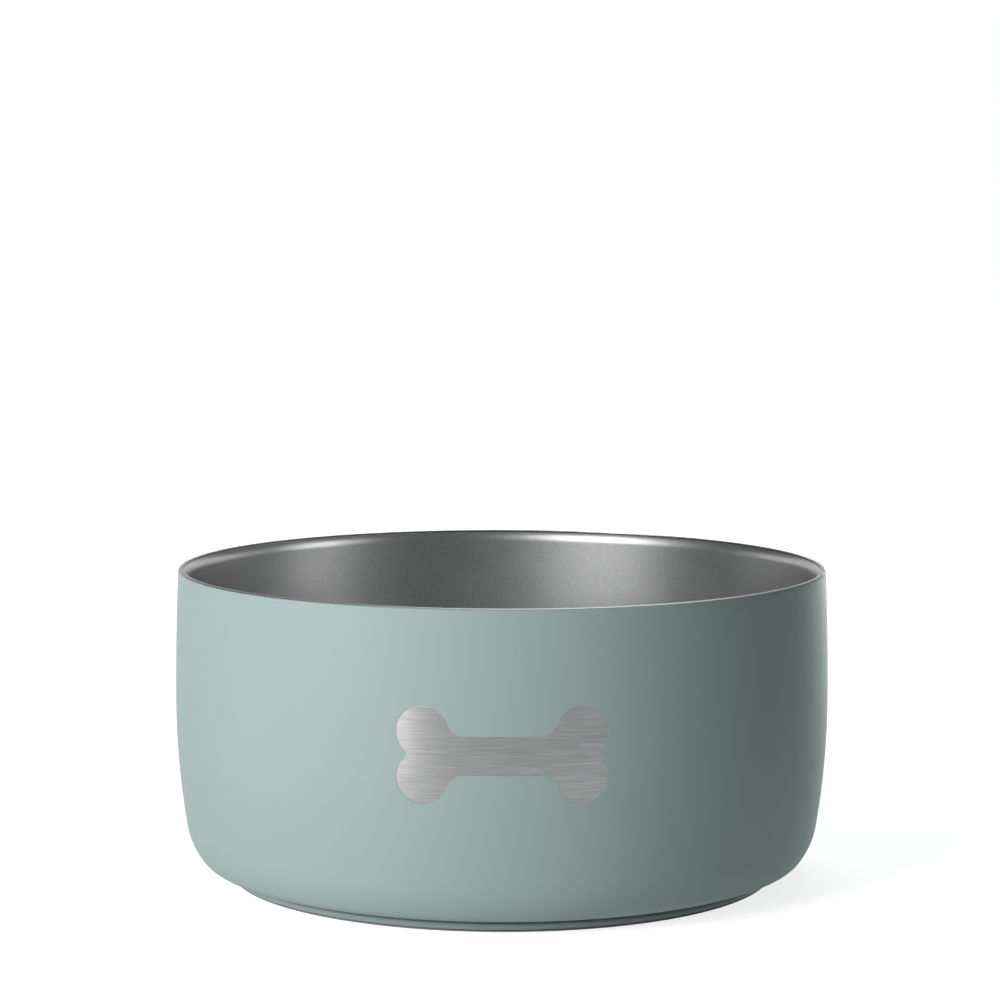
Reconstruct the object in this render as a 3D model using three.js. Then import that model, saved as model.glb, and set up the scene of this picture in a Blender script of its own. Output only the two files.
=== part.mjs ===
// Insulated pet bowl. A bare steel liner hangs by its rim inside a coated steel shell, a base plate
// closes the shell so that the space between can be pumped out, and a rubber ring carries the bowl.
// Millimetres, +Z up. The origin is on the bowl's axis, on the table.
import * as THREE from 'three';

const degrees = THREE.MathUtils.degToRad;

// Outside form of the shell
const OUTER_DIAMETER = 190; // at the widest part of the wall
const OVERALL_HEIGHT = 90;
const BULGE_HEIGHT = 51.8; // height of the widest part
const UPPER_WALL_RADIUS = 810; // section curve from the widest part up to the rim
const LOWER_WALL_RADIUS = 227; // section curve from the widest part down
const BLEND_HEIGHT = 15.4; // where the lower wall starts to turn in
const BLEND_RADIUS = 20;
const HEEL_RADIUS = 9.9;
const UNDERSIDE_HEIGHT = 3.6; // flat ring under the heel
const NECK_INSET = 1.95; // bottom of the groove over the foot, in from the end of the heel
const NECK_RADIUS = 0.45; // that groove
const FOOT_RISE = degrees(60); // upward look of the foot skirt where it leaves the groove
const FOOT_BEND = 0.2; // inside bend of the foot skirt
const FOOT_TAPER = degrees(45); // foot skirt, in towards the table

// Sheet metal and seams
const SHEET = 0.6; // shell, liner, base plate and base cover
const SEAM = 0.2; // gap at each welded or bonded seam
const RIM_BEND = 0.2; // inside bend of the shell's edge, turned in over the liner
const RIM_FLAT = 0.7; // flat ring from that bend to the shell's cut edge

// Liner
const LIP_RADIUS = 5.4; // flare from the wall out to the rim
const LIP_ANGLE = degrees(38);
const WALL_TAPER = degrees(1.2);
const CORNER_RADIUS = 24; // between the wall and the floor
const FLOOR_HEIGHT = 10.4; // inside floor above the table

// Radiation foil, wrapped round the liner's wall
const FOIL = 0.15;
const FOIL_MARGIN = 3; // bare wall above and below the foil

// Non-slip ring
const RING_LIP = 0.45; // rubber between the foot's edge and the table
const RING_LIP_SETBACK = 0.3; // edge of the rubber, in from the foot skirt
const RING_THICKNESS = 3;
const RING_WIDTH = 14; // body of the ring, inside the base plate's turned-down edge
const RING_EDGE = 0.3; // rounding of the edges that meet the table
const RING_SHOULDER = 0.6; // rounding of the upper edge that the base plate bends round

// Base plate, with the pumping port in a dimple at its centre
const DIMPLE_DEPTH = 1.6;
const DIMPLE_BEND = 3;
const PORT_DIAMETER = 1.6;
const PORT_LAND = 4; // radius of the flat round the port
const SEAL_THICKNESS = 1; // solder glass under the port
const SEAL_EDGE = 0.4;

// Getter, which soaks up stray gas, in a pressed cup on the base plate
const GETTER_DIAMETER = 11;
const GETTER_THICKNESS = 1.2;
const CUP_WALL = 0.3;
const CUP_HEIGHT = 1.5;

// Smoothness of the solids
const SEGMENTS = 60;
const SMALL_SEGMENTS = 24;
const CHORD_ERROR = 0.09;
const SAME_POINT = 1e-6; // points of a section nearer than this are one point

const UP = Math.PI / 2;
const DOWN = -Math.PI / 2;
const OUT = 0;
const IN = Math.PI;

const coat = new THREE.MeshStandardMaterial({ color: 0x96aba7, roughness: 0.5, metalness: 0 });
const satinSteel = new THREE.MeshStandardMaterial({ color: 0xb4b5b6, roughness: 0.35, metalness: 1 });
const rawSteel = new THREE.MeshStandardMaterial({ color: 0xa6a8a9, roughness: 0.45, metalness: 1 });
const copper = new THREE.MeshStandardMaterial({ color: 0xb9784f, roughness: 0.3, metalness: 1 });
const solderGlass = new THREE.MeshStandardMaterial({ color: 0x4a4f3e, roughness: 0.15, metalness: 0 });
const getterPowder = new THREE.MeshStandardMaterial({ color: 0x55565a, roughness: 0.9, metalness: 0.4 });
const rubber = new THREE.MeshStandardMaterial({ color: 0x66696b, roughness: 0.85, metalness: 0 });

// A section is drawn as (distance from the axis, height)
function at(r, z) {
  return new THREE.Vector2(r, z);
}

function offset(point, angle, length) {
  return at(point.x + Math.cos(angle) * length, point.y + Math.sin(angle) * length);
}

function directionTo(from, to) {
  return Math.atan2(to.y - from.y, to.x - from.x);
}

// A station is a point on one face of a sheet, with the direction in which that face looks
function station(point, facing) {
  return { point, facing };
}

// Stations along an arc; the face of a hollow arc looks towards its centre
function arc(centre, radius, from, to, hollow = false) {
  const step = 2 * Math.acos(1 - Math.min(CHORD_ERROR / radius, 1));
  const count = Math.max(2, Math.ceil(Math.abs(to - from) / step));
  return Array.from({ length: count + 1 }, (_, i) => {
    const angle = THREE.MathUtils.lerp(from, to, i / count);
    return station(offset(centre, angle, radius), hollow ? angle + Math.PI : angle);
  });
}

function arcPoints(centre, radius, from, to) {
  return arc(centre, radius, from, to).map(({ point }) => point);
}

// Centre, at a given height, of an arc that touches a larger arc from inside
function nestedCentre(outerCentre, outerRadius, radius, height) {
  const rise = height - outerCentre.y;
  return at(outerCentre.x + Math.sqrt((outerRadius - radius) ** 2 - rise ** 2), height);
}

// Closed section of a sheet of even thickness behind its stations
function sheetSection(stations, thickness) {
  const face = stations.map(({ point }) => point);
  const back = stations.map(({ point, facing }) => offset(point, facing, -thickness));
  return [...face, ...back.reverse()];
}

// Solid of revolution about the bowl's axis
function revolve(name, outline, material, segments = SEGMENTS) {
  const section = outline.filter((point, i) => i === 0 || point.distanceTo(outline[i - 1]) > SAME_POINT);
  if (THREE.ShapeUtils.isClockWise(section)) section.reverse();
  const meetsAxis = section.some((point) => point.x === 0);
  if (!meetsAxis) section.push(section[0].clone());
  const geometry = new THREE.LatheGeometry(section, segments);
  geometry.rotateX(UP);
  const mesh = new THREE.Mesh(geometry, material);
  mesh.name = name;
  return mesh;
}

// Rim: the shell's edge turns in over the liner's lip, whose inside face meets it at the cut edge
const outerRadius = OUTER_DIAMETER / 2;
const rimRadius = RIM_BEND + SHEET;
const upperCentre = at(outerRadius - UPPER_WALL_RADIUS, BULGE_HEIGHT);
const rimCentre = nestedCentre(upperCentre, UPPER_WALL_RADIUS, rimRadius, OVERALL_HEIGHT - rimRadius);
const mouthRadius = rimCentre.x - RIM_FLAT;

// Heel, the groove under it, and the foot skirt
const lowerCentre = at(outerRadius - LOWER_WALL_RADIUS, BULGE_HEIGHT);
const lowerEnd = -Math.asin((BULGE_HEIGHT - BLEND_HEIGHT) / LOWER_WALL_RADIUS);
const blendCentre = offset(lowerCentre, lowerEnd, LOWER_WALL_RADIUS - BLEND_RADIUS);
const heelCentre = nestedCentre(blendCentre, BLEND_RADIUS, HEEL_RADIUS, UNDERSIDE_HEIGHT + HEEL_RADIUS);
const blendEnd = directionTo(blendCentre, heelCentre);
const neckCentre = at(heelCentre.x - NECK_INSET + NECK_RADIUS, UNDERSIDE_HEIGHT - NECK_RADIUS);
const skirtRadius = FOOT_BEND + SHEET;
const skirtCentre = offset(neckCentre, FOOT_RISE, -(NECK_RADIUS + skirtRadius));
const skirtBendEnd = offset(skirtCentre, -FOOT_TAPER, skirtRadius);
const footEdge = RING_LIP + SEAM;
const footRadius = skirtBendEnd.x - (skirtBendEnd.y - footEdge) * Math.tan(FOOT_TAPER);

function outerShell() {
  const rimAngle = directionTo(upperCentre, rimCentre);
  const stations = [
    station(at(mouthRadius, OVERALL_HEIGHT), UP),
    ...arc(rimCentre, rimRadius, UP, rimAngle),
    ...arc(upperCentre, UPPER_WALL_RADIUS, rimAngle, OUT),
    ...arc(lowerCentre, LOWER_WALL_RADIUS, OUT, lowerEnd),
    ...arc(blendCentre, BLEND_RADIUS, lowerEnd, blendEnd),
    ...arc(heelCentre, HEEL_RADIUS, blendEnd, DOWN),
    ...arc(neckCentre, NECK_RADIUS, UP, IN + FOOT_RISE, true),
    ...arc(skirtCentre, skirtRadius, FOOT_RISE, -FOOT_TAPER),
    station(at(footRadius, footEdge), -FOOT_TAPER),
  ];
  return revolve('outer_shell', sheetSection(stations, SHEET), coat);
}

// Liner's inside face: the flared lip, and the ends of the straight wall
const wallFacing = IN - WALL_TAPER;
const lipFacing = IN - LIP_ANGLE;
const lipTop = at(mouthRadius, OVERALL_HEIGHT - SHEET - SEAM);
const lipCentre = offset(lipTop, lipFacing, -LIP_RADIUS);
const wallTop = offset(lipCentre, wallFacing, LIP_RADIUS);
const cornerTop = FLOOR_HEIGHT + CORNER_RADIUS * (1 - Math.sin(WALL_TAPER));
const wallFoot = at(wallTop.x - (wallTop.y - cornerTop) * Math.tan(WALL_TAPER), cornerTop);

function innerBowl() {
  const cornerCentre = offset(wallFoot, wallFacing, CORNER_RADIUS);
  const stations = [
    station(at(0, FLOOR_HEIGHT), UP),
    ...arc(cornerCentre, CORNER_RADIUS, DOWN, -WALL_TAPER, true),
    ...arc(lipCentre, LIP_RADIUS, wallFacing, lipFacing),
  ];
  return revolve('inner_bowl', sheetSection(stations, SHEET), satinSteel);
}

function radiationFoil() {
  const backOfLiner = -(SHEET + SEAM + FOIL);
  const top = offset(wallTop, wallFacing + UP, FOIL_MARGIN);
  const foot = offset(wallFoot, wallFacing - UP, FOIL_MARGIN);
  const stations = [top, foot].map((point) => station(offset(point, wallFacing, backOfLiner), -WALL_TAPER));
  return revolve('radiation_foil', sheetSection(stations, FOIL), copper);
}

// Base plate: a dish turned down at its edge, nested in the foot skirt
const plateRadius = footRadius - SHEET * Math.cos(FOOT_TAPER) - SEAM;
const plateTop = RING_THICKNESS + SEAM + SHEET;
const plateBend = RING_SHOULDER + SEAM + SHEET;
const bendCentre = at(plateRadius - plateBend, plateTop - plateBend);
const dimpleTop = plateTop + DIMPLE_DEPTH;

function basePlate() {
  const slope = Math.acos(1 - DIMPLE_DEPTH / (2 * DIMPLE_BEND));
  const upperBend = at(PORT_LAND, dimpleTop - DIMPLE_BEND);
  const lowerBend = at(PORT_LAND + 2 * DIMPLE_BEND * Math.sin(slope), plateTop + DIMPLE_BEND);
  const stations = [
    station(at(plateRadius, footEdge), OUT),
    ...arc(bendCentre, plateBend, OUT, UP),
    ...arc(lowerBend, DIMPLE_BEND, DOWN, DOWN - slope, true),
    ...arc(upperBend, DIMPLE_BEND, UP - slope, UP),
    station(at(PORT_DIAMETER / 2, dimpleTop), UP),
  ];
  return revolve('base_plate', sheetSection(stations, SHEET), rawSteel);
}

function glassSeal() {
  const top = dimpleTop - SHEET - SEAM;
  const edgeCentre = at(PORT_LAND - SEAL_EDGE, top - SEAL_THICKNESS + SEAL_EDGE);
  const outline = [
    at(0, top - SEAL_THICKNESS),
    ...arcPoints(edgeCentre, SEAL_EDGE, DOWN, OUT),
    at(PORT_LAND, top),
    at(0, top),
  ];
  return revolve('glass_seal', outline, solderGlass, SMALL_SEGMENTS);
}

function getter() {
  const cupRadius = GETTER_DIAMETER / 2 + SEAM + CUP_WALL;
  const cupStations = [
    station(at(0, 0), DOWN),
    ...arc(at(cupRadius - CUP_WALL, CUP_WALL), CUP_WALL, DOWN, OUT),
    station(at(cupRadius, CUP_HEIGHT), OUT),
  ];
  const pelletOutline = [
    at(0, 0),
    at(GETTER_DIAMETER / 2, 0),
    at(GETTER_DIAMETER / 2, GETTER_THICKNESS),
    at(0, GETTER_THICKNESS),
  ];
  const cup = revolve('getter_cup', sheetSection(cupStations, CUP_WALL), rawSteel, SMALL_SEGMENTS);
  const pellet = revolve('getter_pellet', pelletOutline, getterPowder, SMALL_SEGMENTS);
  pellet.position.z = CUP_WALL + SEAM;
  const group = new THREE.Group();
  group.add(cup, pellet);
  group.position.set(plateRadius / 2, 0, plateTop + SEAM);
  return group;
}

// Ring: its body fills the base plate's turned-down edge, and its lip passes under both steel edges
const ringOuter = plateRadius - SHEET - SEAM;
const ringInner = ringOuter - RING_WIDTH;

function nonSlipRing() {
  const lipRadius = footRadius - RING_LIP_SETBACK;
  const innerEdge = at(ringInner + RING_EDGE, RING_EDGE);
  const outerEdge = at(lipRadius - RING_EDGE, RING_EDGE);
  const outline = [
    at(ringInner, RING_THICKNESS),
    ...arcPoints(innerEdge, RING_EDGE, IN, IN + UP),
    ...arcPoints(outerEdge, RING_EDGE, DOWN, OUT),
    at(lipRadius, RING_LIP),
    at(ringOuter, RING_LIP),
    ...arcPoints(bendCentre, RING_SHOULDER, OUT, UP),
  ];
  return revolve('non_slip_ring', outline, rubber);
}

function baseCover() {
  const top = RING_THICKNESS;
  const radius = ringInner - SEAM;
  const edgeCentre = at(radius - SHEET / 2, top - SHEET / 2);
  const outline = [
    at(0, top - SHEET),
    ...arcPoints(edgeCentre, SHEET / 2, DOWN, OUT),
    at(radius, top),
    at(0, top),
  ];
  return revolve('base_cover', outline, satinSteel);
}

const petBowl = new THREE.Group();
petBowl.add(
  outerShell(),
  innerBowl(),
  radiationFoil(),
  basePlate(),
  glassSeal(),
  getter(),
  nonSlipRing(),
  baseCover(),
);

export default petBowl;
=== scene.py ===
import math

import bmesh
import bpy
from bpy.props import FloatProperty, FloatVectorProperty, PointerProperty
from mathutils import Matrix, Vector
from mathutils.geometry import delaunay_2d_cdt


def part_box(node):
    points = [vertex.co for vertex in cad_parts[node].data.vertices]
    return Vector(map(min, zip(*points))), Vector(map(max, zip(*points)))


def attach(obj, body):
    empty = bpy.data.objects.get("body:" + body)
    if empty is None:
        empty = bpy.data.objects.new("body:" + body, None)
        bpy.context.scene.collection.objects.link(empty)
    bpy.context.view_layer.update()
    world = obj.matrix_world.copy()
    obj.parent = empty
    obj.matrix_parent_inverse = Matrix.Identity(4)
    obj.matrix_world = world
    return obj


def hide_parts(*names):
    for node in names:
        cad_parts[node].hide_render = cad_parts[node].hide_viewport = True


bl_info = {
    "name": "Insulated Pet Bowl",
    "version": (1, 0, 0),
    "blender": (4, 5, 0),
    "location": "View3D > Sidebar > Pet Bowl",
    "description": "Dresses a double-wall steel pet bowl and lights it in a small studio",
    "category": "Object",
}

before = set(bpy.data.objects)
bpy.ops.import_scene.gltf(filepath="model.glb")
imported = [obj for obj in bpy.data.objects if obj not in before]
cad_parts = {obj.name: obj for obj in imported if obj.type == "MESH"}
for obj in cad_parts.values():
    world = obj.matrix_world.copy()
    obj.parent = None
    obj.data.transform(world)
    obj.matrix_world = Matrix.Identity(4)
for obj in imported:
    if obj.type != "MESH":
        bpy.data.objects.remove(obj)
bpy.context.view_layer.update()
SHELL_LOW, SHELL_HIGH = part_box("outer_shell")
LINER_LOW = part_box("inner_bowl")[0]
RING_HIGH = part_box("non_slip_ring")[1]
COVER_LOW, COVER_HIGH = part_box("base_cover")

MM = 0.001
SEGMENTS = 240  # round the axis; the front is a quarter turn back from +X, so it falls on a column
CHORD_ERROR = 0.004 * MM
SAME_POINT = 0.0001 * MM
SHARP_ANGLE = math.radians(35)
UP = math.pi / 2
DOWN = -math.pi / 2
OUT = 0.0
IN = math.pi
FRONT = -math.pi / 2  # azimuth of the bowl's front
MIDDLE_COLUMN = -SEGMENTS // 4  # column at the front
COLUMN_WIDTH = SHELL_HIGH.x * 2 * math.pi / SEGMENTS  # from column to column at the widest part
EDGE_ROOM = 1.5  # radii of a rounded edge that are kept clear for it at the end of a sheet
FULL_ROUND = 0.49  # rounding of an edge, as a share of its thickness, that leaves hardly any flat
NOISE_LOW = 0.3  # most of a noise lies between this and the next
NOISE_HIGH = 0.7
BRUSH_STRETCH = 0.7  # how far the gloss of brushed steel is drawn out across its lines
LAMP_DISTANCE = 1.2  # from the middle of the base to a softbox


def length(name, description, default):
    """Property for a length."""
    return FloatProperty(
        name=name, description=description, default=default, min=0.0, precision=5, unit="LENGTH"
    )


def turn(name, description, degrees):
    """Property for an angle, with its default in degrees."""
    return FloatProperty(
        name=name, description=description, default=math.radians(degrees), subtype="ANGLE"
    )


def share(name, description, default):
    """Property for a number from nought to one."""
    return FloatProperty(
        name=name, description=description, default=default, min=0.0, max=1.0, subtype="FACTOR"
    )


def power(name, description, default):
    """Property for the power of a lamp."""
    return FloatProperty(name=name, description=description, default=default, min=0.0, unit="POWER")


def colour(name, description, default):
    """Property for a linear colour."""
    return FloatVectorProperty(
        name=name, description=description, default=default, size=3, min=0.0, max=1.0, subtype="COLOR"
    )


class PETBOWL_PG_sheet(bpy.types.PropertyGroup):
    """Sheet metal that the shell and the liner are drawn from"""

    thickness: length("Thickness", "Sheet of the shell and the liner", 0.6 * MM)
    seam: length("Seam", "Gap at each welded or bonded seam", 0.2 * MM)
    edge: length("Edge", "Rounding of a cut edge", 0.1 * MM)
    rim_bend: length("Rim bend", "Inside bend of the shell's edge over the liner", 0.2 * MM)
    rim_flat: length("Rim flat", "Flat ring from that bend to the shell's cut edge", 0.7 * MM)
    rim_edge: length("Rim edge", "Thickness of the shell where that edge is ground down", 0.3 * MM)
    rim_bare: turn("Rim bare", "How far down the rim's bend the steel is bare", 45)


class PETBOWL_PG_shell(bpy.types.PropertyGroup):
    """Section of the coated shell"""

    bulge_height: length("Bulge height", "Height of the widest part", 51.8 * MM)
    upper_radius: length("Upper wall radius", "Section curve above the widest part", 810 * MM)
    lower_radius: length("Lower wall radius", "Section curve below the widest part", 227 * MM)
    blend_height: length("Blend height", "Where the lower wall starts to turn in", 15.4 * MM)
    blend_radius: length("Blend radius", "Section curve from the wall to the heel", 20 * MM)
    heel_radius: length("Heel radius", "Section curve of the heel", 6.5 * MM)
    underside: length("Underside", "Height of the flat ring under the heel", 3.95 * MM)
    neck_inset: length("Neck inset", "Groove over the foot, in from the end of the heel", 3.3 * MM)
    neck_radius: length("Neck radius", "Section curve of that groove", 0.6 * MM)
    foot_rise: turn("Foot rise", "Upward look of the foot skirt where it leaves the groove", 60)
    foot_bend: length("Foot bend", "Inside bend of the foot skirt", 0.2 * MM)
    foot_taper: turn("Foot taper", "Foot skirt, in towards the table", 45)


class PETBOWL_PG_liner(bpy.types.PropertyGroup):
    """Section of the bare steel liner"""

    lip_radius: length("Lip radius", "Flare from the wall out to the rim", 5.4 * MM)
    lip_angle: turn("Lip angle", "Lean of the lip's edge from upright", 38)
    lip_gap: length("Lip gap", "Weld line between the lip and the shell's edge", 0.1 * MM)
    wall_taper: turn("Wall taper", "Lean of the wall from upright", 1.2)
    corner_radius: length("Corner radius", "Between the wall and the floor", 24 * MM)


class PETBOWL_PG_base(bpy.types.PropertyGroup):
    """Rubber ring and bare steel disc under the bowl"""

    ring_width: length("Ring width", "Body of the ring", 14.7 * MM)
    ring_lip: length("Ring lip", "Rubber between the foot's edge and the table", 0.45 * MM)
    lip_setback: length("Lip setback", "Edge of the rubber, in from the foot skirt", 0.3 * MM)
    ring_edge: length("Ring edge", "Rounding of the edges that meet the table", 0.3 * MM)
    ring_shoulder: length("Ring shoulder", "Rounding of the ring's upper edge", 0.6 * MM)


class PETBOWL_PG_emblem(bpy.types.PropertyGroup):
    """Bone shape etched through the coat on the front"""

    height: length("Height", "Middle of the bone above the table", 51 * MM)
    knob_across: length("Knob across", "From the middle to the centre of a knob, sideways", 21.4 * MM)
    knob_rise: length("Knob rise", "From the middle to the centre of a knob, upwards", 6.1 * MM)
    knob_radius: length("Knob radius", "Radius of the four knobs", 7.1 * MM)
    shaft: length("Shaft", "Half the height of the bone's shaft", 5.2 * MM)
    shaft_fillet: length("Shaft fillet", "Hollow between the shaft and a knob", 5 * MM)
    notch_fillet: length("Notch fillet", "Hollow between the two knobs of an end", 1.6 * MM)
    depth: length("Depth", "Thickness of the coat, etched away", 0.1 * MM)
    step: length("Step", "Spacing of points along the outline", 0.4 * MM)
    margin: length("Margin", "Coat round the bone that is meshed with it", 4 * MM)


class PETBOWL_PG_finish(bpy.types.PropertyGroup):
    """Colours and gloss of the bowl's surfaces"""

    coat: colour("Coat", "Sage-green powder coat", (0.27, 0.382, 0.368))
    coat_roughness: share("Coat roughness", "Gloss of the powder coat", 0.68)
    coat_gloss: share("Coat gloss", "Strength of the powder coat's reflections", 0.5)
    # Painted shade: these three settings darken the coat's colour in and around the groove over the foot,
    # in place of the shade that the heel casts there.
    painted_groove_shade: share("Groove shade", "How light the coat stays down in the groove", 0.62)
    painted_shade_core: length("Groove core", "How far from the groove the coat is darkest", 0.1 * MM)
    painted_shade_fade: length("Groove fade", "How far from the groove the coat is darker at all", 1.1 * MM)
    steel: colour("Steel", "Bare stainless steel", (0.57, 0.57, 0.57))
    liner_roughness: share("Liner roughness", "Bead-blasted inside", 0.36)
    rim_roughness: share("Rim roughness", "Bare steel on top of the rim", 0.34)
    etched: colour("Etched steel", "Brushed steel under the etched coat", (0.29, 0.304, 0.303))
    etch_roughness: share("Etch roughness", "Brushed steel under the etched coat", 0.32)
    cover_roughness: share("Cover roughness", "Circular-brushed disc of the base", 0.34)
    rubber: colour("Rubber", "Dark grey rubber", (0.19, 0.2, 0.205))
    copper: colour("Copper", "Rolled copper foil", (0.72, 0.36, 0.2))
    glass: colour("Solder glass", "Fused dark glass", (0.069, 0.078, 0.048))
    powder: colour("Getter powder", "Pressed metal powder", (0.091, 0.093, 0.102))


class PETBOWL_PG_stage(bpy.types.PropertyGroup):
    """Camera, lamps and backdrop"""

    lens: FloatProperty(name="Lens", description="Focal length in millimetres", default=112.54)
    distance: length("Distance", "From the bowl's axis to the camera", 0.906)
    camera_height: length("Camera height", "Lens above the table", 0.2015)
    camera_side: FloatProperty(
        name="Camera side", description="Lens to the right of the axis", default=-0.00081, unit="LENGTH"
    )
    camera_dip: turn("Camera dip", "Tilt of the camera below level", 5.82)
    camera_roll: turn("Camera roll", "Lean of the camera to its right", -0.1)
    floor_radius: length("Floor radius", "Floor, out to the backdrop", 3.0)
    floor_glow: share("Floor glow", "Glow of the floor by the bowl, under the shadow", 0.78)
    floor_fade: length("Floor fade", "Distance at which the floor is full white", 0.6)
    floor_shadow: share("Floor shadow", "How strongly the lamps and the shadow show on the floor", 0.6)
    floor_grey: share("Floor grey", "How much light the floor gives back to the bowl", 0.85)
    wall_height: length("Backdrop height", "White wall behind the floor", 0.8)
    wall_turn: turn("Backdrop turn", "How far the wall reaches round to either side", 70)
    wall_grey: share("Backdrop grey", "How much light the wall gives back to the bowl", 0.5)
    key_power: power("Key power", "Main softbox, on the left of the camera", 14.9)
    key_colour: colour("Key colour", "Faintly warm light of the main softbox", (1.0, 0.905, 0.91))
    rim_power: power("Rim power", "Softbox high behind the bowl", 3.2)
    right_power: power("Right power", "Low softbox behind the bowl, on the right", 6.8)
    left_power: power("Left power", "Low softbox behind the bowl, on the left", 0.8)
    inside_left_power: power("Inside left power", "Softbox on the left, for the liner alone", 7.8)
    inside_right_power: power("Inside right power", "Softbox on the right, for the liner alone", 2.1)
    under_power: power("Under power", "Lamp below the base", 0.5)
    room_light: colour("Room light", "Dim, faintly cool light from all round", (0.09, 0.1, 0.1))


class PETBOWL_PG_bowl(bpy.types.PropertyGroup):
    """Everything that can be set on the bowl and its studio"""

    sheet: PointerProperty(type=PETBOWL_PG_sheet)
    shell: PointerProperty(type=PETBOWL_PG_shell)
    liner: PointerProperty(type=PETBOWL_PG_liner)
    base: PointerProperty(type=PETBOWL_PG_base)
    emblem: PointerProperty(type=PETBOWL_PG_emblem)
    finish: PointerProperty(type=PETBOWL_PG_finish)
    stage: PointerProperty(type=PETBOWL_PG_stage)


# Sections are drawn as (distance from the axis, height). A station is a point on one face of a sheet,
# with the direction in which that face looks; the stations of a sheet run clockwise from that direction.


def offset(point, angle, distance):
    """Point at a distance from another, in a direction given as an angle."""
    return point + distance * Vector((math.cos(angle), math.sin(angle)))


def direction(start, end):
    """Angle from one point to another."""
    return math.atan2(end.y - start.y, end.x - start.x)


def arc(centre, radius, start, end, hollow=False):
    """Stations along an arc; the face of a hollow arc looks towards its centre."""
    step = 2 * math.acos(1 - min(CHORD_ERROR / radius, 1))
    count = max(2, math.ceil(abs(end - start) / step))
    angles = [start + (end - start) * i / count for i in range(count + 1)]
    return [(offset(centre, a, radius), a + math.pi if hollow else a) for a in angles]


def arc_points(centre, radius, start, end):
    """Points along an arc."""
    return [point for point, facing in arc(centre, radius, start, end)]


def nested_centre(outer_centre, outer_radius, radius, height):
    """Centre, at a given height, of an arc that touches a larger arc from inside."""
    reach = math.sqrt((outer_radius - radius) ** 2 - (height - outer_centre.y) ** 2)
    return Vector((outer_centre.x + reach, height))


def cut_end(station, thickness, edge, quarter):
    """Points of a sheet's cut end from its face to its back, with both corners rounded."""
    point, facing = station
    onward = facing + quarter
    face_corner = offset(offset(point, facing, -edge), onward, -edge)
    back_corner = offset(offset(point, facing, edge - thickness), onward, -edge)
    return (arc_points(face_corner, edge, facing, onward)
            + arc_points(back_corner, edge, onward, onward + quarter))


def sheet_outline(stations, thickness, edge, first_end=()):
    """Closed outline of a sheet behind its stations, from the axis or from a given end to a cut end."""
    last = stations[-1]
    kept = [station for station in stations if (station[0] - last[0]).length > EDGE_ROOM * edge]
    face = [point for point, facing in kept]
    back = [offset(point, facing, -thickness) for point, facing in reversed(kept)]
    return face + cut_end(last, thickness, edge, DOWN) + back + list(first_end)


def without_repeats(outline):
    """The outline with only one of any points that fall together."""
    kept = [p for i, p in enumerate(outline) if i == 0 or (p - outline[i - 1]).length > SAME_POINT]
    return kept[:-1] if (kept[0] - kept[-1]).length < SAME_POINT else kept


def rim_radius(bowl):
    """Outside bend of the shell's edge, turned in over the liner."""
    return bowl.sheet.rim_bend + bowl.sheet.thickness


def rim_centre(bowl):
    """Centre of the bend in the shell's edge."""
    radius = rim_radius(bowl)
    centre = Vector((SHELL_HIGH.x - bowl.shell.upper_radius, bowl.shell.bulge_height))
    return nested_centre(centre, bowl.shell.upper_radius, radius, SHELL_HIGH.z - radius)


def mouth_radius(bowl):
    """Radius of the shell's cut edge, where the liner's lip meets it."""
    return rim_centre(bowl).x - bowl.sheet.rim_flat


def coat_end(bowl):
    """Where the coat ends on the bend of the shell's edge."""
    return offset(rim_centre(bowl), UP - bowl.sheet.rim_bare, rim_radius(bowl))


def heel_arcs(bowl):
    """The lower wall, the blend and the heel, each as (centre, radius, start angle, end angle)."""
    shell = bowl.shell
    lower = Vector((SHELL_HIGH.x - shell.lower_radius, shell.bulge_height))
    lower_end = -math.asin((shell.bulge_height - shell.blend_height) / shell.lower_radius)
    blend = offset(lower, lower_end, shell.lower_radius - shell.blend_radius)
    heel_height = shell.underside + shell.heel_radius
    heel = nested_centre(blend, shell.blend_radius, shell.heel_radius, heel_height)
    blend_end = direction(blend, heel)
    return [
        (lower, shell.lower_radius, OUT, lower_end),
        (blend, shell.blend_radius, lower_end, blend_end),
        (heel, shell.heel_radius, blend_end, DOWN),
    ]


def foot_arcs(bowl):
    """The groove and the foot skirt's bend, each as (centre, radius, start angle, end angle)."""
    shell = bowl.shell
    heel = heel_arcs(bowl)[-1][0]
    neck = Vector((heel.x - shell.neck_inset + shell.neck_radius, shell.underside - shell.neck_radius))
    bend = shell.foot_bend + bowl.sheet.thickness
    skirt = offset(neck, shell.foot_rise, -(shell.neck_radius + bend))
    return [
        (neck, shell.neck_radius, UP, IN + shell.foot_rise),
        (skirt, bend, shell.foot_rise, -shell.foot_taper),
    ]


def foot_radius(bowl):
    """Outside radius of the foot skirt's lower edge."""
    centre, radius, start, end = foot_arcs(bowl)[-1]
    bend_end = offset(centre, end, radius)
    return bend_end.x - (bend_end.y - SHELL_LOW.z) * math.tan(bowl.shell.foot_taper)


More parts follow.
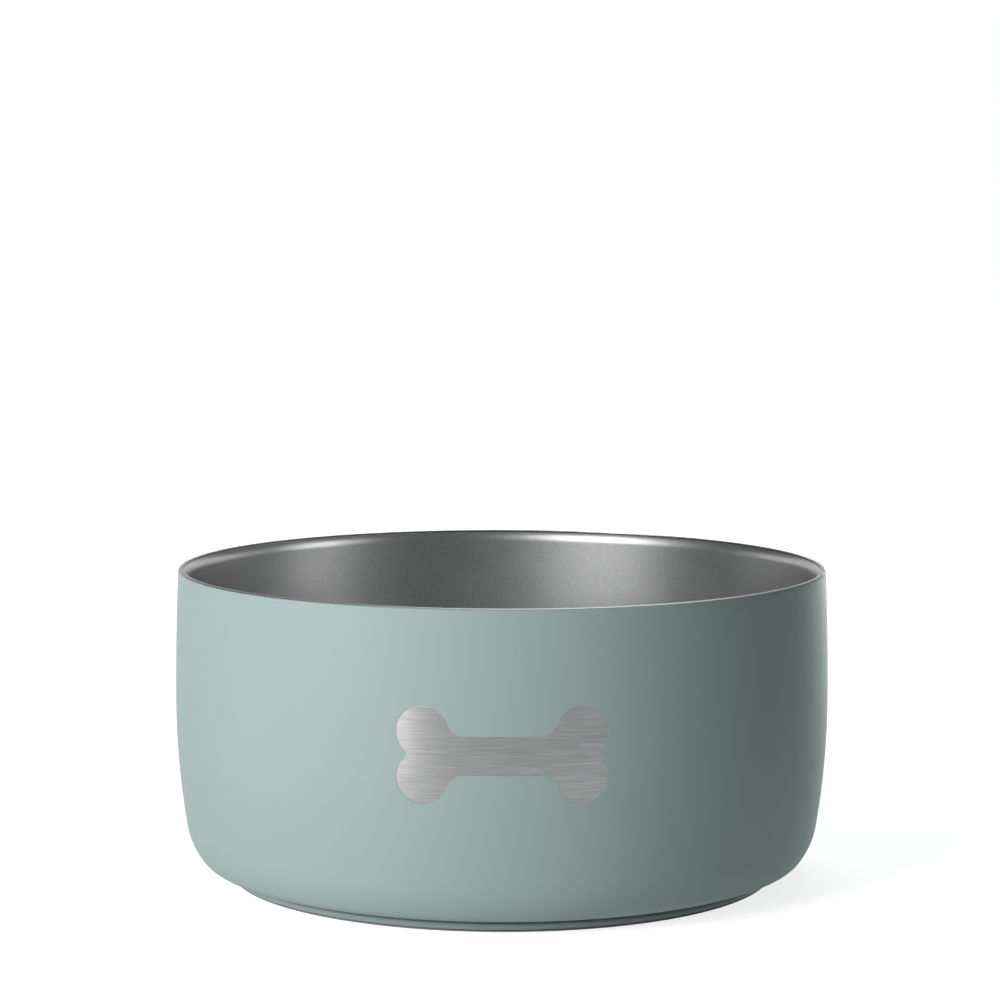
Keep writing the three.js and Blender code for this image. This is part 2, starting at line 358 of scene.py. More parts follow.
def shell_outline(bowl):
    """Section of the coated shell, from its turned-in edge down to its foot skirt."""
    shell = bowl.shell
    upper = Vector((SHELL_HIGH.x - shell.upper_radius, shell.bulge_height))
    rim = rim_centre(bowl)
    rim_angle = direction(upper, rim)
    groove, skirt = foot_arcs(bowl)
    stations = arc(rim, rim_radius(bowl), UP, UP - bowl.sheet.rim_bare)
    stations += arc(rim, rim_radius(bowl), UP - bowl.sheet.rim_bare, rim_angle)[1:]
    stations += arc(upper, shell.upper_radius, rim_angle, OUT)[1:]
    for centre, radius, start, end in heel_arcs(bowl):
        stations += arc(centre, radius, start, end)[1:]
    stations += arc(*groove, hollow=True)
    stations += arc(*skirt)[1:]
    stations.append((Vector((foot_radius(bowl), SHELL_LOW.z)), -shell.foot_taper))
    sheet = bowl.sheet
    mouth = (Vector((mouth_radius(bowl), SHELL_HIGH.z)), UP)
    rim_end = reversed(cut_end(mouth, sheet.rim_edge, FULL_ROUND * sheet.rim_edge, UP))
    return without_repeats(sheet_outline(stations, sheet.thickness, sheet.edge, rim_end))


def liner_outline(bowl):
    """Section of the liner, from the middle of its floor up to the edge of its flared lip."""
    liner, sheet = bowl.liner, bowl.sheet
    floor = LINER_LOW.z + sheet.thickness
    wall_facing = IN - liner.wall_taper
    lip_facing = IN - liner.lip_angle
    lip_top = Vector((mouth_radius(bowl), SHELL_HIGH.z - sheet.rim_edge - liner.lip_gap))
    lip_centre = offset(lip_top, lip_facing, -liner.lip_radius)
    wall_top = offset(lip_centre, wall_facing, liner.lip_radius)
    corner_top = floor + liner.corner_radius * (1 - math.sin(liner.wall_taper))
    lean = (wall_top.y - corner_top) * math.tan(liner.wall_taper)
    wall_foot = Vector((wall_top.x - lean, corner_top))
    corner_centre = offset(wall_foot, wall_facing, liner.corner_radius)
    stations = [(Vector((0, floor)), UP)]
    stations += arc(corner_centre, liner.corner_radius, DOWN, -liner.wall_taper, hollow=True)
    stations += arc(lip_centre, liner.lip_radius, wall_facing, lip_facing)
    return without_repeats(sheet_outline(stations, sheet.thickness, sheet.edge))


def ring_outline(bowl):
    """Section of the rubber ring: a body inside the foot and a lip under the foot's edge."""
    base, sheet = bowl.base, bowl.sheet
    foot = foot_radius(bowl)
    plate = foot - sheet.thickness * math.cos(bowl.shell.foot_taper) - sheet.seam
    outer = plate - sheet.thickness - sheet.seam
    inner = outer - base.ring_width
    lip = foot - base.lip_setback
    shoulder = Vector((outer - base.ring_shoulder, RING_HIGH.z - base.ring_shoulder))
    outline = [Vector((inner, RING_HIGH.z))]
    outline += arc_points(Vector((inner + base.ring_edge, base.ring_edge)), base.ring_edge, IN, IN + UP)
    outline += arc_points(Vector((lip - base.ring_edge, base.ring_edge)), base.ring_edge, DOWN, OUT)
    outline += [Vector((lip, base.ring_lip)), Vector((outer, base.ring_lip))]
    outline += arc_points(shoulder, base.ring_shoulder, OUT, UP)
    return without_repeats(outline)


def cover_outline():
    """Section of the flat steel disc inside the rubber ring, rounded at its lower edge."""
    edge = (COVER_HIGH.z - COVER_LOW.z) / 2
    rounding = Vector((COVER_HIGH.x - edge, COVER_LOW.z + edge))
    outline = [Vector((0, COVER_LOW.z))]
    outline += arc_points(rounding, edge, DOWN, OUT)
    outline += [Vector((COVER_HIGH.x, COVER_HIGH.z)), Vector((0, COVER_HIGH.z))]
    return without_repeats(outline)


class Lathe:
    """Corners and faces of an outline turned about the bowl's axis."""

    def __init__(self, outline):
        self.outline = outline
        self.vertices = []
        self.faces = []
        self.rings = [self.add_ring(point) for point in outline]

    def add_ring(self, point):
        """Adds the corners that one point of the outline sweeps, or one corner on the axis."""
        first = len(self.vertices)
        if point.x < SAME_POINT:
            self.vertices.append(Vector((0, 0, point.y)))
            return [first] * SEGMENTS
        for column in range(SEGMENTS):
            self.vertices.append(on_round(point.x, column_angle(column), point.y))
        return list(range(first, first + SEGMENTS))

    def corner(self, row, column):
        """Index of the corner where a row of the outline meets a column."""
        return self.rings[row % len(self.rings)][column % SEGMENTS]

    def add_faces(self, is_left_out=None):
        """Adds the faces between rows, apart from those that are left out."""
        on_axis = any(point.x < SAME_POINT for point in self.outline)
        for row in range(len(self.rings) - on_axis):
            for column in range(SEGMENTS):
                if is_left_out and is_left_out(row, column):
                    continue
                corners = [
                    self.corner(row, column),
                    self.corner(row, column + 1),
                    self.corner(row + 1, column + 1),
                    self.corner(row + 1, column),
                ]
                self.faces.append(list(dict.fromkeys(corners)))


def column_angle(column):
    """Azimuth of a column of a turned mesh."""
    return 2 * math.pi * column / SEGMENTS


def on_round(radius, azimuth, height):
    """Point at a distance from the bowl's axis."""
    return Vector((radius * math.cos(azimuth), radius * math.sin(azimuth), height))


def add_mesh(name, lathe, materials):
    """Adds a smooth mesh of what a lathe has turned."""
    mesh = bpy.data.meshes.new(name)
    mesh.from_pydata(lathe.vertices, [], lathe.faces)
    for material in materials:
        mesh.materials.append(material)
    mesh.shade_smooth()
    added = bpy.data.objects.new(name, mesh)
    bpy.context.scene.collection.objects.link(added)
    return added


def make_piece(name, lathe, materials, node, face_materials=None):
    """Makes a piece that stands for a CAD node."""
    piece = add_mesh(name, lathe, materials)
    mesh = piece.data
    if face_materials:
        mesh.polygons.foreach_set("material_index", face_materials)
    shaped = bmesh.new()
    shaped.from_mesh(mesh)
    bmesh.ops.recalc_face_normals(shaped, faces=shaped.faces)
    shaped.to_mesh(mesh)
    shaped.free()
    mesh.set_sharp_from_angle(angle=SHARP_ANGLE)
    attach(piece, "root")
    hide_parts(node)


def bone_quarter(emblem):
    """Upper right quarter of the bone's outline, from the shaft round a knob to the notch."""
    knob = Vector((emblem.knob_across, emblem.knob_rise))
    fillet_rise = emblem.shaft + emblem.shaft_fillet
    fillet_reach = math.sqrt(
        (emblem.knob_radius + emblem.shaft_fillet) ** 2 - (fillet_rise - knob.y) ** 2
    )
    fillet = Vector((knob.x - fillet_reach, fillet_rise))
    notch_reach = math.sqrt((emblem.knob_radius + emblem.notch_fillet) ** 2 - knob.y ** 2)
    notch = Vector((knob.x + notch_reach, 0))
    to_knob = direction(fillet, knob)
    from_fillet = direction(knob, fillet)
    to_notch = direction(knob, notch)
    return (
        even_arc(fillet, emblem.shaft_fillet, DOWN, to_knob, emblem.step)
        + even_arc(knob, emblem.knob_radius, from_fillet, to_notch, emblem.step)[1:]
        + even_arc(notch, emblem.notch_fillet, to_notch + math.pi, math.pi, emblem.step)[1:]
    )


def even_arc(centre, radius, start, end, step):
    """Points spaced evenly along an arc, about a step apart."""
    count = max(3, round(abs(end - start) * radius / step))
    return [offset(centre, start + (end - start) * i / count, radius) for i in range(count + 1)]


def bone_outline(emblem):
    """Closed outline of the bone about its middle, clockwise from the top of the shaft."""
    quarter = bone_quarter(emblem)
    half_shaft = quarter[0].x
    count = round(half_shaft / emblem.step)
    shaft_top = [Vector((half_shaft * i / count, emblem.shaft)) for i in range(count)]
    quarter = shaft_top + quarter
    right_lower = [Vector((p.x, -p.y)) for p in reversed(quarter[:-1])]
    right = quarter + right_lower
    left = [Vector((-p.x, p.y)) for p in reversed(right[1:-1])]
    return right + left


def is_inside(point, outline):
    """True if a point lies inside a closed outline."""
    inside = False
    for a, b in zip(outline, outline[1:] + outline[:1]):
        if (a.y > point.y) != (b.y > point.y):
            crossing = a.x + (point.y - a.y) * (b.x - a.x) / (b.y - a.y)
            inside ^= point.x < crossing
    return inside


def wall_radius(bowl, height):
    """Outside radius of the shell's wall at a height above the blend."""
    shell = bowl.shell
    rise = height - shell.bulge_height
    curve = shell.upper_radius if rise > 0 else shell.lower_radius
    return SHELL_HIGH.x - curve + math.sqrt(curve ** 2 - rise ** 2)


def clear_of(point, outline, distance):
    """True if a point keeps a distance from every point of an outline."""
    return all((point - other).length > distance for other in outline)


def emblem_window(lathe, bowl, bone):
    """Rows and columns of the shell's wall between which the bone lies, with a margin round it."""
    margin = bowl.emblem.margin
    low = min(p.y for p in bone) - margin
    high = max(p.y for p in bone) + margin
    rows = [
        i for i, p in enumerate(lathe.outline)
        if low <= p.y <= high and p.x > wall_radius(bowl, p.y) - SAME_POINT
    ]
    half = math.ceil((max(p.x for p in bone) + margin) / COLUMN_WIDTH)
    return rows, range(MIDDLE_COLUMN - half, MIDDLE_COLUMN + half + 1)


def window_points(lathe, rows, columns, bone, spacing):
    """Points of the window clear of the bone's outline, each with its corner of the lathe or none."""
    points = []
    for row in rows:
        for column in columns:
            point = Vector(((column - MIDDLE_COLUMN) * COLUMN_WIDTH, lathe.outline[row].y))
            if row in (rows[0], rows[-1]) or column in (columns[0], columns[-1]):
                points.append((point, lathe.corner(row, column)))
            elif clear_of(point, bone, spacing):
                points.append((point, None))
    for row, next_row in zip(rows, rows[1:]):
        between = (lathe.outline[row].y + lathe.outline[next_row].y) / 2
        for column in columns[:-1]:
            point = Vector(((column + 0.5 - MIDDLE_COLUMN) * COLUMN_WIDTH, between))
            if clear_of(point, bone, spacing):
                points.append((point, None))
    return points


def add_wall_corner(lathe, bowl, point, depth):
    """Adds a corner to the shell's wall, sunk by a depth; returns its index."""
    radius = wall_radius(bowl, point.y) - depth
    lathe.vertices.append(on_round(radius, FRONT + point.x / SHELL_HIGH.x, point.y))
    return len(lathe.vertices) - 1


def add_emblem(lathe, bowl):
    """Leaves a window in the shell's wall and fills it with a patch into which the bone is sunk.

    Returns the first face that shows bare steel; the patch is laid out flat, as (way round, height).
    """
    emblem = bowl.emblem
    bone = [Vector((p.x, p.y + emblem.height)) for p in bone_outline(emblem)]
    rows, columns = emblem_window(lathe, bowl, bone)
    window_rows = set(rows[:-1])
    window_columns = {column % SEGMENTS for column in columns[:-1]}
    lathe.add_faces(lambda row, column: row in window_rows and column in window_columns)

    points = window_points(lathe, rows, columns, bone, emblem.step)
    first_bone = len(points)
    points += [(point, None) for point in bone]
    bone_edges = [(first_bone + i, first_bone + (i + 1) % len(bone)) for i in range(len(bone))]
    scaled = [point / MM for point, corner in points]
    flat, edges, faces, sources, *rest = delaunay_2d_cdt(scaled, bone_edges, [], 0, SAME_POINT / MM)

    surface, sunk, order = {}, {}, {}
    for index, found in enumerate(sources):
        source = found[0]
        order[source] = index
        point, corner = points[source]
        on_bone = source >= first_bone
        if corner is not None:
            surface[index] = corner
        elif on_bone or not is_inside(point, bone):
            surface[index] = add_wall_corner(lathe, bowl, point, 0)
        if on_bone or index not in surface:
            sunk[index] = add_wall_corner(lathe, bowl, point, emblem.depth)
    steel_faces = []
    for face in faces:
        centre = sum((flat[i] for i in face), Vector((0, 0))) / len(face) * MM
        if is_inside(centre, bone):
            steel_faces.append([sunk[i] for i in face])
        else:
            lathe.faces.append([surface[i] for i in face])
    for edge in bone_edges:
        a, b = order[edge[0]], order[edge[1]]
        lathe.faces.append([surface[a], surface[b], sunk[b], sunk[a]])
    first_steel = len(lathe.faces)
    lathe.faces.extend(steel_faces)
    return first_steel


def coated_rows(bowl, outline):
    """Rows of the shell's outline from the end of the coat on the rim down to the foot's edge."""
    end = coat_end(bowl)
    first = min(range(len(outline)), key=lambda row: (outline[row] - end).length)
    last = min(range(len(outline)), key=lambda row: outline[row].y)
    return range(first, last + 1)


def add_node(tree, kind, inputs=None, **settings):
    """Adds a shader node; an input is a value or another node's output."""
    node = tree.nodes.new(kind)
    for name, value in settings.items():
        setattr(node, name, value)
    for name, value in (inputs or {}).items():
        if isinstance(value, bpy.types.NodeSocket):
            tree.links.new(value, node.inputs[name])
        else:
            node.inputs[name].default_value = value
    return node


def new_finish(name, base, roughness, metallic=0.0):
    """New material; returns it with its node tree and its shader."""
    material = bpy.data.materials.new(name)
    material.use_nodes = True
    shader = material.node_tree.nodes["Principled BSDF"]
    shader.inputs["Base Color"].default_value = (*base, 1)
    shader.inputs["Roughness"].default_value = roughness
    shader.inputs["Metallic"].default_value = metallic
    return material, material.node_tree, shader


def place_on_piece(tree):
    """Place on the piece, in metres."""
    return add_node(tree, "ShaderNodeTexCoord").outputs["Object"]


def stretched(tree, place, scale):
    """A place stretched along each axis."""
    node = add_node(tree, "ShaderNodeVectorMath", {0: place, 1: scale}, operation="MULTIPLY")
    return node.outputs["Vector"]


def from_axis(tree, place):
    """Distance of a place from the bowl's axis."""
    level = stretched(tree, place, (1, 1, 0))
    return add_node(tree, "ShaderNodeVectorMath", {0: level}, operation="LENGTH").outputs["Value"]


def grain(tree, place, size, detail=2.0):
    """Noise with grains of about a size."""
    inputs = {"Vector": place, "Scale": 1 / size, "Detail": detail}
    return add_node(tree, "ShaderNodeTexNoise", inputs).outputs[0]


def ramped(tree, value, start, end, low, high):
    """A value that runs from low to high as another runs from start to end."""
    inputs = {"Value": value, "From Min": start, "From Max": end, "To Min": low, "To Max": high}
    return add_node(tree, "ShaderNodeMapRange", inputs).outputs["Result"]


def spread(tree, value, low, high):
    """Noise brought into a range."""
    return ramped(tree, value, NOISE_LOW, NOISE_HIGH, low, high)


def blend_colours(tree, value, dark, light):
    """Colour between two, by a noise."""
    node = add_node(tree, "ShaderNodeValToRGB", {"Fac": value})
    first, last = node.color_ramp.elements
    first.position = NOISE_LOW
    first.color = (*dark, 1)
    last.position = NOISE_HIGH
    last.color = (*light, 1)
    return node.outputs["Color"]


def shades(base, contrast):
    """A darker and a lighter shade of a colour."""
    return [c * (1 - contrast) for c in base], [min(c * (1 + contrast), 1) for c in base]


def mixed(tree, first, second, weight):
    """Two heights added, the second by a weight."""
    node = add_node(tree, "ShaderNodeMath", {0: second, 1: weight, 2: first}, operation="MULTIPLY_ADD")
    return node.outputs["Value"]


def vary_colour(tree, shader, noise, contrast):
    """Lets a finish's colour drift about its own shade with a noise."""
    socket = shader.inputs["Base Color"]
    tree.links.new(blend_colours(tree, noise, *shades(socket.default_value[:3], contrast)), socket)


def vary_gloss(tree, shader, noise, change):
    """Lets a finish's roughness drift about its own value with a noise."""
    socket = shader.inputs["Roughness"]
    middle = socket.default_value
    tree.links.new(spread(tree, noise, middle - change, middle + change), socket)


def add_bump(tree, shader, height, distance):
    """Raises a surface by a height map."""
    bump = add_node(tree, "ShaderNodeBump", {"Height": height, "Distance": distance})
    tree.links.new(bump.outputs["Normal"], shader.inputs["Normal"])


def painted_groove_shade(tree, place, bowl):
    """Painted shade for the coat: a factor that darkens its colour most in the groove over the foot, and is
    one away from it.
    """
    finish = bowl.finish
    centre, radius = foot_arcs(bowl)[0][:2]
    height = add_node(tree, "ShaderNodeSeparateXYZ", {"Vector": place}).outputs["Z"]
    on_section = {"X": from_axis(tree, place), "Y": height}
    section = add_node(tree, "ShaderNodeCombineXYZ", on_section).outputs["Vector"]
    ends = {0: section, 1: (*centre, 0)}
    distance = add_node(tree, "ShaderNodeVectorMath", ends, operation="DISTANCE").outputs["Value"]
    core, fade = radius + finish.painted_shade_core, radius + finish.painted_shade_fade
    return ramped(tree, distance, core, fade, finish.painted_groove_shade, 1.0)


def powder_coat(bowl):
    """Satin powder coat: a faint orange peel with a fine grain on it, and painted shade that darkens its
    colour down in the groove.
    """
    finish = bowl.finish
    material, tree, shader = new_finish("sage_powder_coat", finish.coat, finish.coat_roughness)
    shader.inputs["Specular IOR Level"].default_value = finish.coat_gloss
    place = place_on_piece(tree)
    peel = grain(tree, place, 1.3 * MM, 1.0)
    fine = grain(tree, place, 0.2 * MM)
    cloud = grain(tree, place, 30 * MM)
    clouded = blend_colours(tree, cloud, *shades(finish.coat, 0.012))
    # Painted shade: the coat's colour is scaled down in and around the groove over the foot.
    inputs = {0: clouded, "Scale": painted_groove_shade(tree, place, bowl)}
    coat_with_painted_shade = add_node(tree, "ShaderNodeVectorMath", inputs, operation="SCALE")
    tree.links.new(coat_with_painted_shade.outputs["Vector"], shader.inputs["Base Color"])
    vary_gloss(tree, shader, fine, 0.04)
    add_bump(tree, shader, mixed(tree, peel, fine, 0.25), 0.012 * MM)
    return material


def bead_blasted_steel(finish):
    """Satin stainless steel with the fine pits of bead blasting."""
    material, tree, shader = new_finish("bead_blasted_steel", finish.steel, finish.liner_roughness, 1.0)
    place = place_on_piece(tree)
    pits = grain(tree, place, 0.6 * MM, 3.0)
    cloud = grain(tree, place, 14 * MM)
    vary_colour(tree, shader, pits, 0.11)
    vary_gloss(tree, shader, cloud, 0.02)
    add_bump(tree, shader, pits, 0.02 * MM)
    return material


def rim_steel(finish):
    """Bare steel of the rim, with faint clouds left by its polishing."""
    return plain_metal("bare_rim_steel", finish.steel, finish.rim_roughness, 0.05, 1.5 * MM, 0.001 * MM)


def brush(tree, shader):
    """Stretches the gloss across brush lines that run round the bowl's axis."""
    tangent = add_node(tree, "ShaderNodeTangent", direction_type="RADIAL", axis="Z")
    tree.links.new(tangent.outputs["Tangent"], shader.inputs["Tangent"])
    shader.inputs["Anisotropic"].default_value = BRUSH_STRETCH
    shader.inputs["Anisotropic Rotation"].default_value = 0.25


def etched_steel(finish):
    """Brushed steel where the coat is etched away, with level brush lines."""
    material, tree, shader = new_finish("etched_brushed_steel", finish.etched, finish.etch_roughness, 1.0)
    place = place_on_piece(tree)
    lines = grain(tree, stretched(tree, place, (0.02, 0.02, 1.0)), 0.16 * MM, 3.0)
    streaks = grain(tree, stretched(tree, place, (0.06, 0.06, 1.0)), 0.7 * MM)
    vary_colour(tree, shader, lines, 0.16)
    vary_gloss(tree, shader, streaks, 0.05)
    brush(tree, shader)
    add_bump(tree, shader, lines, 0.01 * MM)
    return material


def turned_steel(finish):
    """Steel disc with fine circular brush lines."""
    material, tree, shader = new_finish("circular_brushed_steel", finish.steel, finish.cover_roughness, 1.0)
    place = place_on_piece(tree)
    swirl = stretched(tree, place, (0.01, 0.01, 0.0))
    inputs = {0: swirl, 1: from_axis(tree, place)}
    rings = add_node(tree, "ShaderNodeVectorMath", inputs, operation="ADD").outputs["Vector"]
    lines = grain(tree, rings, 0.25 * MM, 3.0)
    vary_colour(tree, shader, lines, 0.12)
    vary_gloss(tree, shader, lines, 0.05)
    brush(tree, shader)
    add_bump(tree, shader, lines, 0.006 * MM)
    return material


def matte_rubber(finish):
    """Matte rubber with a fine moulded texture."""
    material, tree, shader = new_finish("dark_grey_rubber", finish.rubber, 0.79)
    texture = grain(tree, place_on_piece(tree), 0.35 * MM)
    vary_colour(tree, shader, texture, 0.1)
    vary_gloss(tree, shader, texture, 0.07)
    add_bump(tree, shader, texture, 0.03 * MM)
    return material


def plain_metal(name, base, roughness, contrast, size, depth=0.02 * MM):
    """Mill-finished metal or powder, mottled with grains of a size."""
    material, tree, shader = new_finish(name, base, roughness, 1.0)
    mottle = grain(tree, place_on_piece(tree), size, 3.0)
    vary_colour(tree, shader, mottle, contrast)
    vary_gloss(tree, shader, mottle, 0.06)
    add_bump(tree, shader, mottle, depth)
    return material


def solder_glass(finish):
    """Fused dark glass with slow swirls in its colour."""
    material, tree, shader = new_finish("fused_solder_glass", finish.glass, 0.13)
    swirls = grain(tree, place_on_piece(tree), 2.5 * MM)
    vary_colour(tree, shader, swirls, 0.3)
    vary_gloss(tree, shader, swirls, 0.05)
    add_bump(tree, shader, swirls, 0.02 * MM)
    return material


class PETBOWL_OT_coated_shell(bpy.types.Operator):
    """Make the coated shell, with the bone etched through its coat"""

    bl_idname = "petbowl.coated_shell"
    bl_label = "Coated Shell"

    def execute(self, context):
        bowl = context.scene.pet_bowl
        lathe = Lathe(shell_outline(bowl))
        first_steel = add_emblem(lathe, bowl)
        materials = [powder_coat(bowl), etched_steel(bowl.finish), rim_steel(bowl.finish)]
        face_materials = [0] * first_steel + [1] * (len(lathe.faces) - first_steel)
        coated = coated_rows(bowl, lathe.outline)
        bare = {c for row, ring in enumerate(lathe.rings) if row not in coated for c in ring}
        for i, face in enumerate(lathe.faces):
            if not bare.isdisjoint(face):
                face_materials[i] = 2
        make_piece("coated_shell", lathe, materials, "outer_shell", face_materials)
        return {"FINISHED"}


class PETBOWL_OT_steel_liner(bpy.types.Operator):
    """Make the bare steel liner"""

    bl_idname = "petbowl.steel_liner"
    bl_label = "Steel Liner"

    def execute(self, context):
        bowl = context.scene.pet_bowl
        lathe = Lathe(liner_outline(bowl))
        lathe.add_faces()
        materials = [bead_blasted_steel(bowl.finish)]
        make_piece("steel_liner", lathe, materials, "inner_bowl")
        return {"FINISHED"}


class PETBOWL_OT_rubber_ring(bpy.types.Operator):
    """Make the rubber ring that the bowl stands on"""

    bl_idname = "petbowl.rubber_ring"
    bl_label = "Rubber Ring"

    def execute(self, context):
        bowl = context.scene.pet_bowl
        lathe = Lathe(ring_outline(bowl))
        lathe.add_faces()
        materials = [matte_rubber(bowl.finish)]
        make_piece("rubber_ring", lathe, materials, "non_slip_ring")
        return {"FINISHED"}


class PETBOWL_OT_base_disc(bpy.types.Operator):
    """Make the brushed steel disc inside the rubber ring"""

    bl_idname = "petbowl.base_disc"
    bl_label = "Base Disc"

    def execute(self, context):
        bowl = context.scene.pet_bowl
        lathe = Lathe(cover_outline())
        lathe.add_faces()
        materials = [turned_steel(bowl.finish)]
        make_piece("base_disc", lathe, materials, "base_cover")
        return {"FINISHED"}


class PETBOWL_OT_sealed_pieces(bpy.types.Operator):
    """Give the pieces sealed between the walls their finishes"""

    bl_idname = "petbowl.sealed_pieces"
    bl_label = "Sealed Pieces"

    def execute(self, context):
        finish = context.scene.pet_bowl.finish
        mill_steel = plain_metal("mill_finish_steel", finish.steel, 0.42, 0.08, 1.2 * MM)
        finishes = {
            "radiation_foil": plain_metal("rolled_copper_foil", finish.copper, 0.28, 0.06, 4 * MM),
            "base_plate": mill_steel,
            "getter_cup": mill_steel,
            "getter_pellet": plain_metal("pressed_getter_powder", finish.powder, 0.85, 0.3, 0.2 * MM),
            "glass_seal": solder_glass(finish),
        }
        for node, material in finishes.items():
            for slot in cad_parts[node].material_slots:
                slot.material = material
        return {"FINISHED"}


def ring_band(name, inner, outer, material, columns):
    """Band of faces between two circles, each given as (radius, height), over a range of columns."""
    band = Lathe([Vector(inner), Vector(outer)])
    for column in columns:
        corners = (0, column), (1, column), (1, column + 1), (0, column + 1)
        band.faces.append([band.corner(*corner) for corner in corners])
    piece = add_mesh(name, band, [material])


def seen_rays(tree):
    """One for what is seen straight, mirrored or through glass, and nought for other light."""
    path = add_node(tree, "ShaderNodeLightPath").outputs
    seen = path["Is Camera Ray"]
    for kind in ("Is Glossy Ray", "Is Transmission Ray"):
        either = add_node(tree, "ShaderNodeMath", {0: seen, 1: path[kind]}, operation="MAXIMUM")
        seen = either.outputs["Value"]
    return seen


def matte(tree, level):
    """Matte grey of a level."""
    return add_node(tree, "ShaderNodeBsdfDiffuse", {"Color": (level, level, level, 1)}).outputs[0]


def studio_surface(name):
    """New material with nothing but its output."""
    material = bpy.data.materials.new(name)
    material.use_nodes = True
    tree = material.node_tree
    tree.nodes.remove(tree.nodes["Principled BSDF"])
    return material, tree


def show_front(tree, seen, other):
    """Shows one shader where the surface is seen and another to other light, and none from behind.

    The bowl can then be seen from below.
    """
    front = add_node(tree, "ShaderNodeMixShader", {0: seen_rays(tree), 1: other, 2: seen})
    clear = add_node(tree, "ShaderNodeBsdfTransparent")
    behind = add_node(tree, "ShaderNodeNewGeometry").outputs["Backfacing"]
    whole = add_node(tree, "ShaderNodeMixShader", {0: behind, 1: front.outputs[0], 2: clear.outputs[0]})
    tree.links.new(whole.outputs[0], tree.nodes["Material Output"].inputs["Surface"])


def floor_white(stage):
    """White floor: where it is seen it glows and takes the bowl's shadow."""
    material, tree = studio_surface("floor_white")
    reach = from_axis(tree, place_on_piece(tree))
    glow = ramped(tree, reach, SHELL_HIGH.x, stage.floor_fade, stage.floor_glow, 1.0)
    emission = add_node(tree, "ShaderNodeEmission", {"Strength": glow}).outputs[0]
    lit = add_node(tree, "ShaderNodeAddShader", {0: emission, 1: matte(tree, stage.floor_shadow)})
    show_front(tree, lit.outputs[0], matte(tree, stage.floor_grey))
    return material


def backdrop_white(stage):
    """White wall: where it is seen it glows."""
    material, tree = studio_surface("backdrop_white")
    emission = add_node(tree, "ShaderNodeEmission", {"Strength": 1.0}).outputs[0]
    show_front(tree, emission, matte(tree, stage.wall_grey))
    return material


def add_softbox(name, watts, azimuth, elevation, size, distance=LAMP_DISTANCE, tint=(1, 1, 1)):
    """Soft lamp that looks at the bowl, placed in degrees right of the camera's side and above level."""
    lamp = bpy.data.lights.new(name, "AREA")
    lamp.shape = "RECTANGLE"
    lamp.size, lamp.size_y = size
    lamp.energy = watts
    lamp.color = tint
    rise = math.radians(elevation)
    reach = distance * math.cos(rise)
    place = on_round(reach, FRONT + math.radians(azimuth), distance * math.sin(rise))
    lamp_object = bpy.data.objects.new(name, lamp)
    lamp_object.location = place
    lamp_object.rotation_euler = (-place).to_track_quat("-Z", "Y").to_euler()
    lamp_object.visible_camera = False
    bpy.context.scene.collection.objects.link(lamp_object)
    return lamp_object


def set_flags(lamp_object, piece, state):
    """Keeps a lamp's light on one piece or off it, as black flags do in a studio."""
    flagged = bpy.data.collections.new(lamp_object.name + "_flags")
    flagged.objects.link(piece)
    flagged.collection_objects[0].light_linking.link_state = state
    lamp_object.light_linking.receiver_collection = flagged


def add_world(scene, dim):
    """Dim light from all round."""
    world = bpy.data.worlds.new("studio")
    world.use_nodes = True
    world.node_tree.nodes["Background"].inputs["Color"].default_value = (*dim, 1)
    scene.world = world


def add_camera(scene, stage):
    """Camera at the photograph's place."""
    camera = bpy.data.cameras.new("camera")
    camera.lens = stage.lens
    camera_object = bpy.data.objects.new("camera", camera)
    camera_object.location = (stage.camera_side, -stage.distance, stage.camera_height)
    camera_object.rotation_euler = (math.pi / 2 - stage.camera_dip, stage.camera_roll, 0)
    scene.collection.objects.link(camera_object)
    scene.camera = camera_object


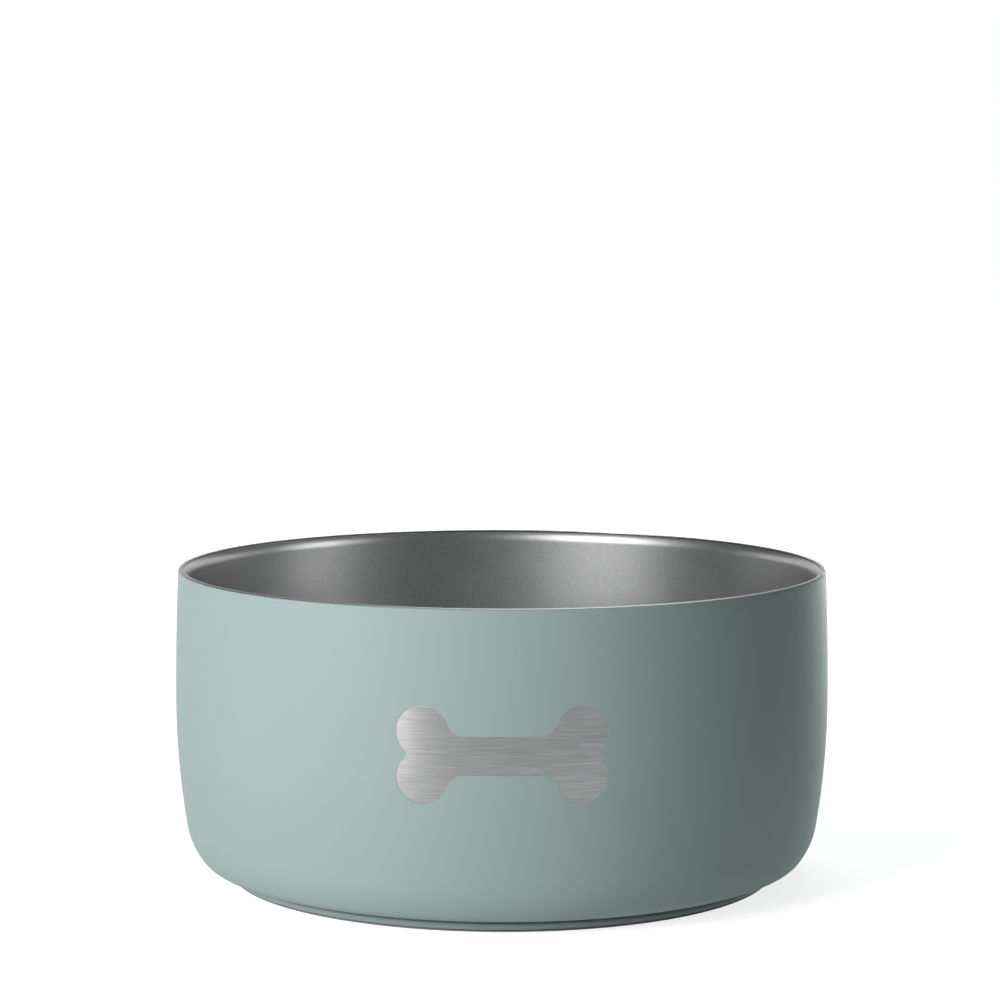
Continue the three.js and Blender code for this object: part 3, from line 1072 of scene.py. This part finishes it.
class PETBOWL_OT_studio(bpy.types.Operator):
    """Make the floor, backdrop, lamps and camera"""

    bl_idname = "petbowl.studio"
    bl_label = "Studio"

    def execute(self, context):
        scene = context.scene
        stage = scene.pet_bowl.stage
        under_ring = RING_HIGH.x - 2 * scene.pet_bowl.base.ring_edge
        edge = stage.floor_radius
        half = round(stage.wall_turn / column_angle(1))
        back = MIDDLE_COLUMN + SEGMENTS // 2
        behind = range(back - half, back + half)
        ring_band("floor", (under_ring, 0), (edge, 0), floor_white(stage), range(SEGMENTS))
        ring_band("backdrop", (edge, 0), (edge, stage.wall_height), backdrop_white(stage), behind)
        key = add_softbox(
            "key_softbox",
            stage.key_power,
            azimuth=-46,
            elevation=20,
            size=(0.55, 0.5),
            tint=stage.key_colour,
        )
        add_softbox("rim_softbox", stage.rim_power, azimuth=165, elevation=60, size=(0.7, 0.7))
        add_softbox("right_edge_softbox", stage.right_power, azimuth=152, elevation=2.4, size=(0.5, 0.1))
        add_softbox("left_edge_softbox", stage.left_power, azimuth=-152, elevation=2.4, size=(0.4, 0.1))
        inside_left = add_softbox(
            "inside_left_softbox", stage.inside_left_power, azimuth=-41, elevation=28, size=(0.8, 0.8)
        )
        inside_right = add_softbox(
            "inside_right_softbox", stage.inside_right_power, azimuth=78, elevation=22, size=(0.4, 0.6)
        )
        add_softbox(
            "under_lamp", stage.under_power, azimuth=0, elevation=-90, size=(0.3, 0.3), distance=0.4
        )
        liner = bpy.data.objects["steel_liner"]
        set_flags(key, liner, "EXCLUDE")
        set_flags(inside_left, liner, "INCLUDE")
        set_flags(inside_right, liner, "INCLUDE")
        add_world(scene, stage.room_light)
        add_camera(scene, stage)
        scene.view_settings.view_transform = "Standard"
        return {"FINISHED"}


class PETBOWL_PT_panel(bpy.types.Panel):
    """Lists the steps that make the bowl"""

    bl_idname = "PETBOWL_PT_panel"
    bl_label = "Pet Bowl"
    bl_space_type = "VIEW_3D"
    bl_region_type = "UI"
    bl_category = "Pet Bowl"

    def draw(self, context):
        for operator in OPERATORS:
            self.layout.operator(operator.bl_idname)


SETTINGS = (
    PETBOWL_PG_sheet,
    PETBOWL_PG_shell,
    PETBOWL_PG_liner,
    PETBOWL_PG_base,
    PETBOWL_PG_emblem,
    PETBOWL_PG_finish,
    PETBOWL_PG_stage,
    PETBOWL_PG_bowl,
)
OPERATORS = (
    PETBOWL_OT_coated_shell,
    PETBOWL_OT_steel_liner,
    PETBOWL_OT_rubber_ring,
    PETBOWL_OT_base_disc,
    PETBOWL_OT_sealed_pieces,
    PETBOWL_OT_studio,
)
CLASSES = (*SETTINGS, *OPERATORS, PETBOWL_PT_panel)


def register():
    """Registers the classes and the bowl's settings."""
    for cls in CLASSES:
        bpy.utils.register_class(cls)
    bpy.types.Scene.pet_bowl = PointerProperty(type=PETBOWL_PG_bowl)


def unregister():
    """Takes the settings and the classes away again."""
    del bpy.types.Scene.pet_bowl
    for cls in reversed(CLASSES):
        bpy.utils.unregister_class(cls)


def main():
    """Builds the bowl and its studio."""
    register()
    bpy.ops.petbowl.coated_shell()
    bpy.ops.petbowl.steel_liner()
    bpy.ops.petbowl.rubber_ring()
    bpy.ops.petbowl.base_disc()
    bpy.ops.petbowl.sealed_pieces()
    bpy.ops.petbowl.studio()


if __name__ == "__main__":
    main()
